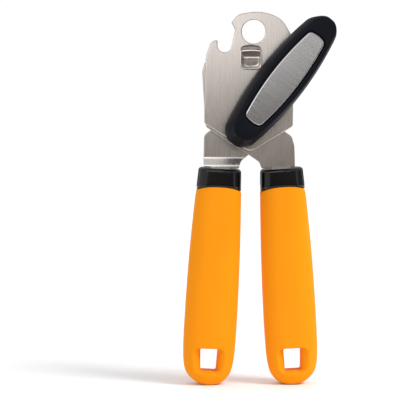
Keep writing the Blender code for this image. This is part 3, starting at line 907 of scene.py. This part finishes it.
def feed_drive(hard, plain):
    """What turns with the key behind the plate: gear, serrated wheel, retaining washer and shaft."""
    bore = square(SQUARE_SIDE + 2 * GAP)
    gear = sheet("feed_gear_body", layer("feed_gear"), [gear_outline(0.0), bore], 0.14)
    add("feed_gear_body", gear, hard, "crank", ["feed_gear"], SHAFT)

    serrations, depth = 28, 0.55
    outer = wheel_radius("feed_wheel")
    outline = []
    for i in range(serrations):
        for radius, share in ((outer, 0.0), (outer - depth, 0.42), (outer - depth, 0.58)):
            outline.append(on_circle(ON_AXIS, radius, math.tau * (i + share) / serrations))
    wheel = sheet("feed_wheel_body", layer("feed_wheel"), [outline, bore], 0.12)
    add("feed_wheel_body", wheel, hard, "crank", ["feed_wheel"], SHAFT)
    name, bore = "feed_retainer_ring", JOURNAL_R + GAP
    washer(name, "feed_retainer", SHAFT, bore, 4.7, plain, "crank", 0.12)

    front, rear = layer("feed_shaft")
    core, head, journal_front, journal_rear, under_head = 2.0, 3.5, -5.1, 3.5, 10.5
    corners = [(0, journal_front, 0), (JOURNAL_R, journal_front, 0.3), (JOURNAL_R, journal_rear, 0.2)]
    corners += [(core, journal_rear, 0), (core, under_head, 0), (head, under_head, 0.1)]
    corners += [(head, 11.05, 0.3), (2.0, rear - 0.05, 1.0), (0, rear, 0)]
    turned_piece("feed_shaft_body", ["feed_shaft"], SHAFT, corners, hard, "crank")
    bar = sheet("feed_shaft_square", (front, under_head + 0.3), [square(SQUARE_SIDE)], 0.2)
    add("feed_shaft_square", bar, hard, "crank", [], SHAFT)


def cutter_pieces(hard, plain):
    """The cutting wheel, its gear, hub and spring washer, and the axle, spacer and cap."""
    bore = AXLE_R + GAP
    outline = gear_outline(math.pi / GEAR_TEETH)
    gear = sheet("cutter_gear_body", (layer("cutter_gear")[0], 5.9), [outline, ring(ON_AXIS, bore)], 0.14)
    add("cutter_gear_body", gear, hard, "cutter", ["cutter_gear"], CUTTER)
    corners = [(bore, 5.2, 0), (4.9, 5.2, 0.1), (4.9, 9.3, 0.25)]
    corners += [(3.6, 9.3, 0.1), (3.6, 11.0, 0.2), (bore, 11.0, 0.1)]
    turned_piece("cutter_hub", [], CUTTER, corners, hard, "cutter")

    front, rear = layer("cutter_wheel")
    inner, outer = 3.9, wheel_radius("cutter_wheel")
    corners = [(inner, front, 0.1), (outer - 0.15, front, 0.05), (outer, front + 0.12, 0.05)]
    corners += [(7.2, rear, 0.3), (inner, rear, 0.1)]
    nodes = ["cutter_wheel"]
    turned_piece("cutter_wheel_body", nodes, CUTTER, corners, hard, "cutter", 120)
    corners = [(bore, 11.5, 0.1), (4.9, 11.9, 0.15), (4.9, 12.4, 0.15), (bore, 12.0, 0.1)]
    nodes = ["cutter_spring_washer"]
    turned_piece("cutter_spring_ring", nodes, CUTTER, corners, plain, "cutter")

    corners = [(0, -0.9, 0), (AXLE_HEAD_R, -0.9, 0.15), (AXLE_HEAD_R, -0.2, 0.1)]
    corners += [(AXLE_R, -0.2, 0.1), (AXLE_R, 13.3, 0.2), (0, 13.3, 0)]
    turned_piece("cutter_axle_body", ["cutter_axle"], CUTTER, corners, hard, "cutter_side")
    name = "cutter_spacer_ring"
    washer(name, "cutter_spacer", CUTTER, bore, 4.2, hard, "cutter_side", 0.15)
    rear = layer("cutter_cap")[1]
    corners = [(0, 13.6, 0), (bore, 13.6, 0), (bore, 12.7, 0.1), (4.8, 12.7, 0.15), (4.8, 13.3, 0.3)]
    corners += [(3.4, rear - 0.4, 0.8), (1.6, rear - 0.05, 1.5), (0, rear, 0)]
    turned_piece("cutter_cap_body", ["cutter_cap"], CUTTER, corners, plain, "cutter_side")


# ---------------------------------------------------------------- key


def boat(length, width, end_width, corner, bulge=0.0, side_steps=14, corner_steps=8):
    """A long outline with bowed sides and blunt, rounded ends, as (along, across) points."""
    half, end = length / 2, end_width / 2
    straight = half - corner
    quarter = []
    for step in range(side_steps):
        quarter.append((straight * step / side_steps, end))
    for step in range(corner_steps + 1):
        angle = math.pi / 2 * step / corner_steps
        quarter.append((straight + corner * math.sin(angle), end - corner + corner * math.cos(angle)))
    for step in range(1, 4):
        quarter.append((half, (end - corner) * (1 - step / 3)))
    bowed = []
    for along, across in quarter:
        wide = 1 + (width / end_width - 1) * (1 - (along / half) ** 2)
        blunt = max(0.0, along / half - 0.8) / 0.2
        bowed.append((along + bulge * blunt * (1 - (across / end) ** 2), across * wide))
    near = bowed + [(u, -v) for u, v in bowed[-2::-1]]
    return near + [(-u, v) for u, v in near[-2:0:-1]]


def in_key_plane(points, y, shift=(0.0, 0.0)):
    """Points of the key's own plane, (along, across), placed at y, with x and z from its shaft."""
    sin, cos = math.sin(KNOB_ANGLE), math.cos(KNOB_ANGLE)
    placed = []
    for along, across in points:
        u, v = along + shift[0], across + shift[1]
        placed.append((u * sin + v * cos, y, u * cos - v * sin))
    return placed


def knob_ring(y, inset, share):
    """One section of the key, set in from its widest and moved part of the way to the face."""
    corner = max(2.5, 6.4 - 0.8 * inset)
    length = KNOB_LENGTH - 2 * inset - 2 * END_BULGE
    width, end_width = KNOB_WIDTH - 2 * inset, KNOB_END_WIDTH - 2 * inset
    outline = boat(length, width, end_width, corner, END_BULGE)
    return in_key_plane(outline, y, (FACE_SHIFT[0] * share, FACE_SHIFT[1] * share))


def insert_outline(grow=0.0):
    length = INSERT_LENGTH - 2 * END_BULGE + 2 * grow
    width, end_width = INSERT_WIDTH + 2 * grow, INSERT_END_WIDTH + 2 * grow
    return boat(length, width, end_width, 1.6 + grow, END_BULGE)


def knob_body(material):
    """The key: a rounded back, a flank that leans in towards the face, and a flat land round a recess."""
    back, flank_back, flank_front, front = -5.4, -12.9, -21.65, -22.4
    # Each group of rows is (distance from the back or the front, inset or growth).
    rounded_back = [(0.0, 4.2), (0.0, 3.2), (0.12, 2.3), (0.5, 1.45), (1.2, 0.75)]
    rounded_back += [(2.2, 0.28), (3.6, 0.04), (5.0, 0.0), (back - flank_back, 0.0)]
    face_rim = ((0.35, 2.42), (0.1, 2.75), (0.0, 3.15))
    recess = ((0.0, 1.1), (0.06, 0.85), (0.25, 0.66), (0.6, 0.6), (1.5, 0.6))
    rings = [knob_ring(back - distance, inset, 0.0) for distance, inset in rounded_back]
    steps = 8
    for step in range(1, steps + 1):
        share = step / steps
        y = flank_back + (flank_front - flank_back) * share
        rings.append(knob_ring(y, 2.15 * share**1.7, share * share * (3 - 2 * share)))
    rings += [knob_ring(front + distance, inset, 1.0) for distance, inset in face_rim]
    for distance, grow in recess:
        rings.append(in_key_plane(insert_outline(grow), front + distance, FACE_SHIFT))
    mesh, nodes = loft("knob_shell", rings), ["knob_body"]
    return add("knob_shell", mesh, material, "crank", nodes, SHAFT, 40.0, flat_faces=False)


def knob_insert(material):
    """The brushed plate in the key's face, with a fine rounded edge."""
    front = layer("knob_insert")[0]
    # As (distance from the front, growth).
    rows = ((1.8, 0.0), (0.6, 0.0), (0.3, -0.08), (0.09, -0.28), (0.0, -0.7))
    rings = [in_key_plane(insert_outline(grow), front + distance, FACE_SHIFT) for distance, grow in rows]
    mesh = loft("knob_plate", rings)
    return add("knob_plate", mesh, material, "crank", ["knob_insert"], SHAFT, sharp=60.0)


# ---------------------------------------------------------------- studio


def studio_world():
    """A plain white room. Polished surfaces see it as warm and dim round the middle and bright above,
    with a bright left side and a bright strip on the right."""
    world = bpy.data.worlds.new("studio")
    bpy.context.scene.world = world
    world.use_nodes = True
    tree = world.node_tree
    tree.nodes.clear()
    source = tree.nodes.new("ShaderNodeTexCoord")
    split = tree.nodes.new("ShaderNodeSeparateXYZ")
    level = tree.nodes.new("ShaderNodeMapRange")
    level.inputs["From Min"].default_value = -1.0
    ramp = tree.nodes.new("ShaderNodeValToRGB")
    stops = ramp.color_ramp.elements
    # From straight down, at 0, to straight up, at 1. The ramp has its two end stops from the start.
    stops[0].position, stops[0].color = 0.24, (0.70, 0.70, 0.70, 1.0)
    stops[1].position, stops[1].color = 0.75, (0.64, 0.65, 0.67, 1.0)
    for place, colour in (
        (0.31, (0.135, 0.112, 0.092, 1.0)),
        (0.42, (0.135, 0.112, 0.092, 1.0)),
        (0.50, (0.17, 0.145, 0.125, 1.0)),
        (0.58, (0.35, 0.34, 0.33, 1.0)),
    ):
        stops.new(place).color = colour
    tree.links.new(source.outputs["Generated"], split.inputs["Vector"])
    tree.links.new(split.outputs["Z"], level.inputs["Value"])
    tree.links.new(level.outputs["Result"], ramp.inputs["Fac"])

    path = tree.nodes.new("ShaderNodeLightPath")
    mirrored = tree.nodes.new("ShaderNodeBackground")
    sideways = split.outputs["X"]
    to_left = mapped(tree, sideways, 1.0, 0.0, -0.68, -0.58)
    lit_left = blended(tree, to_left, ramp.outputs["Color"], (0.72, 0.72, 0.73))
    strip = tree.nodes.new("ShaderNodeMath")
    strip.operation = "MULTIPLY"
    tree.links.new(mapped(tree, sideways, 0.0, 1.0, 0.74, 0.78), strip.inputs[0])
    tree.links.new(mapped(tree, sideways, 1.0, 0.0, 0.87, 0.92), strip.inputs[1])
    lit_sides = blended(tree, strip.outputs["Value"], lit_left, (0.80, 0.80, 0.81))
    tree.links.new(lit_sides, mirrored.inputs["Color"])
    shader = mirrored.outputs["Background"]
    for ray, strength in (("Is Diffuse Ray", 0.83), ("Is Camera Ray", 1.02)):
        plain = tree.nodes.new("ShaderNodeBackground")
        plain.inputs["Color"].default_value = (1.0, 1.0, 1.0, 1.0)
        plain.inputs["Strength"].default_value = strength
        mix = tree.nodes.new("ShaderNodeMixShader")
        tree.links.new(path.outputs[ray], mix.inputs["Fac"])
        tree.links.new(shader, mix.inputs[1])
        tree.links.new(plain.outputs["Background"], mix.inputs[2])
        shader = mix.outputs["Shader"]
    out = tree.nodes.new("ShaderNodeOutputWorld")
    tree.links.new(shader, out.inputs["Surface"])


def studio_floor():
    """A matt white sheet, in metres, that ends just in front of the opener so that the steel doesn't
    mirror it."""
    half_width, front, rear = 1.2, -0.16, 1.6
    corners = ((-half_width, front), (half_width, front), (half_width, rear), (-half_width, rear))
    bm = bmesh.new()
    bm.faces.new([bm.verts.new((x, y, 0.0)) for x, y in corners])
    mesh = bpy.data.meshes.new("floor")
    bm.to_mesh(mesh)
    bm.free()
    floor = bpy.data.objects.new("floor", mesh)
    material, tree, shader = new_tree("floor_white")
    grain = stretched_noise(tree, coordinates(tree), (3.0, 3.0, 3.0), 2.0)
    colour = blended(tree, grain, (0.915, 0.93, 0.945), (0.925, 0.94, 0.955))
    tree.links.new(colour, shader.inputs["Base Color"])
    shader.inputs["Roughness"].default_value = 0.9
    shader.inputs["Specular IOR Level"].default_value = 0.1
    mesh.materials.append(material)
    bpy.context.scene.collection.objects.link(floor)


def aimed(obj, place, target):
    """Puts a lamp in the scene at a place, in metres, facing another."""
    obj.location = place
    obj.rotation_euler = (Vector(target) - Vector(place)).to_track_quat("-Z", "Y").to_euler()
    bpy.context.scene.collection.objects.link(obj)


def studio_lights():
    """A broad key from the front right, and two cards that show only in polished surfaces."""
    key = bpy.data.lights.new("key_light", "SUN")
    key.energy = 1.8
    key.angle = math.radians(24.0)
    lamp = bpy.data.objects.new("key_light", key)
    aimed(lamp, (0.9, -0.55, 1.05), (0.0, 0.0, 0.0))
    lamp.visible_glossy = False
    for name, width, height, energy, middle in (
        ("front_card", 0.42, 0.19, 0.37, (-0.17, 0.27)),
        ("corner_card", 0.07, 0.06, 0.030, (0.112, 0.213)),
    ):
        card = bpy.data.lights.new(name, "AREA")
        card.shape = "RECTANGLE"
        card.size = width
        card.size_y = height
        card.energy = energy
        panel = bpy.data.objects.new(name, card)
        x, z = middle
        aimed(panel, (x, -0.30, z), (x, 0.0, z))
        panel.visible_camera = False
        panel.visible_diffuse = False


def photo_camera():
    """A long lens, a little to the left of the opener and above it."""
    data = bpy.data.cameras.new("camera")
    data.sensor_width = 36.0
    data.lens = CAMERA_LENS
    data.clip_start = 0.05
    data.clip_end = 50.0
    camera = bpy.data.objects.new("camera", data)
    yawed = Matrix.Rotation(-CAMERA_YAW, 3, "Z")
    camera.location = HOME + (CAMERA_TARGET + yawed @ CAMERA_REACH) * MM
    level = yawed @ Matrix.Rotation(math.pi / 2 - CAMERA_PITCH, 3, "X")
    camera.rotation_euler = (level @ Matrix.Rotation(CAMERA_ROLL, 3, "Z")).to_euler()
    bpy.context.scene.collection.objects.link(camera)
    bpy.context.scene.camera = camera


# ---------------------------------------------------------------- the opener


def dress():
    """Every piece of the opener, in its material."""
    upright = (1.0, 0.05, 0.012)
    turn = math.pi / 2 - KNOB_ANGLE
    dark, light = (0.665, 0.62, 0.58), (0.695, 0.65, 0.61)
    plate_steel = brushed_steel("plate_steel", dark, light, 0.30, upright)
    dark, light = (0.46, 0.46, 0.465), (0.53, 0.53, 0.535)
    insert_steel = brushed_steel("insert_steel", dark, light, 0.25, upright, turn)
    plain_steel = turned_steel("plain_steel", (0.54, 0.53, 0.52), (0.64, 0.63, 0.62), 0.30)
    hard_steel = turned_steel("hard_steel", (0.40, 0.40, 0.41), (0.52, 0.52, 0.53), 0.27)
    dark, light = (0.92, 0.288, 0.005), (0.97, 0.318, 0.007)
    orange = moulded("grip_orange", dark, light, 0.50, 1900.0, 0.012, 0.06)
    dark, light = (0.003, 0.0028, 0.0034), (0.005, 0.0045, 0.0055)
    black = moulded("collar_black", dark, light, 0.11, 1500.0, 0.002, 0.45)
    dark, light = (0.0045, 0.005, 0.008), (0.0065, 0.007, 0.011)
    knob_black = moulded("knob_black", dark, light, 0.44, 3200.0, 0.008, 0.08)
    nylon = moulded("nylon", (0.66, 0.65, 0.61), (0.74, 0.73, 0.69), 0.45, 1500.0, 0.008, 0.5)

    front_plate(plate_steel)
    rim_ramp(plate_steel)
    rim_cup(plate_steel)
    feed_arm(plate_steel)
    cutter_arm(plate_steel)
    for side, word, body in ((-1, "left", "feed_side"), (1, "right", "cutter_side")):
        grip_sleeve(word + "_grip_skin", side, body, orange)
        collar(word + "_collar", side, body, black)
    pivot_pieces(plain_steel)
    feed_bush(hard_steel)
    feed_drive(hard_steel, plain_steel)
    cutter_pieces(hard_steel, plain_steel)
    knob_body(knob_black)
    knob_insert(insert_steel)
    bore = JOURNAL_R + GAP
    washer("knob_washer_ring", "knob_washer", SHAFT, bore, 7.0, nylon, "crank", 0.3)


dress()
studio_world()
studio_floor()
studio_lights()
photo_camera()
bpy.context.scene.view_settings.view_transform = "Standard"
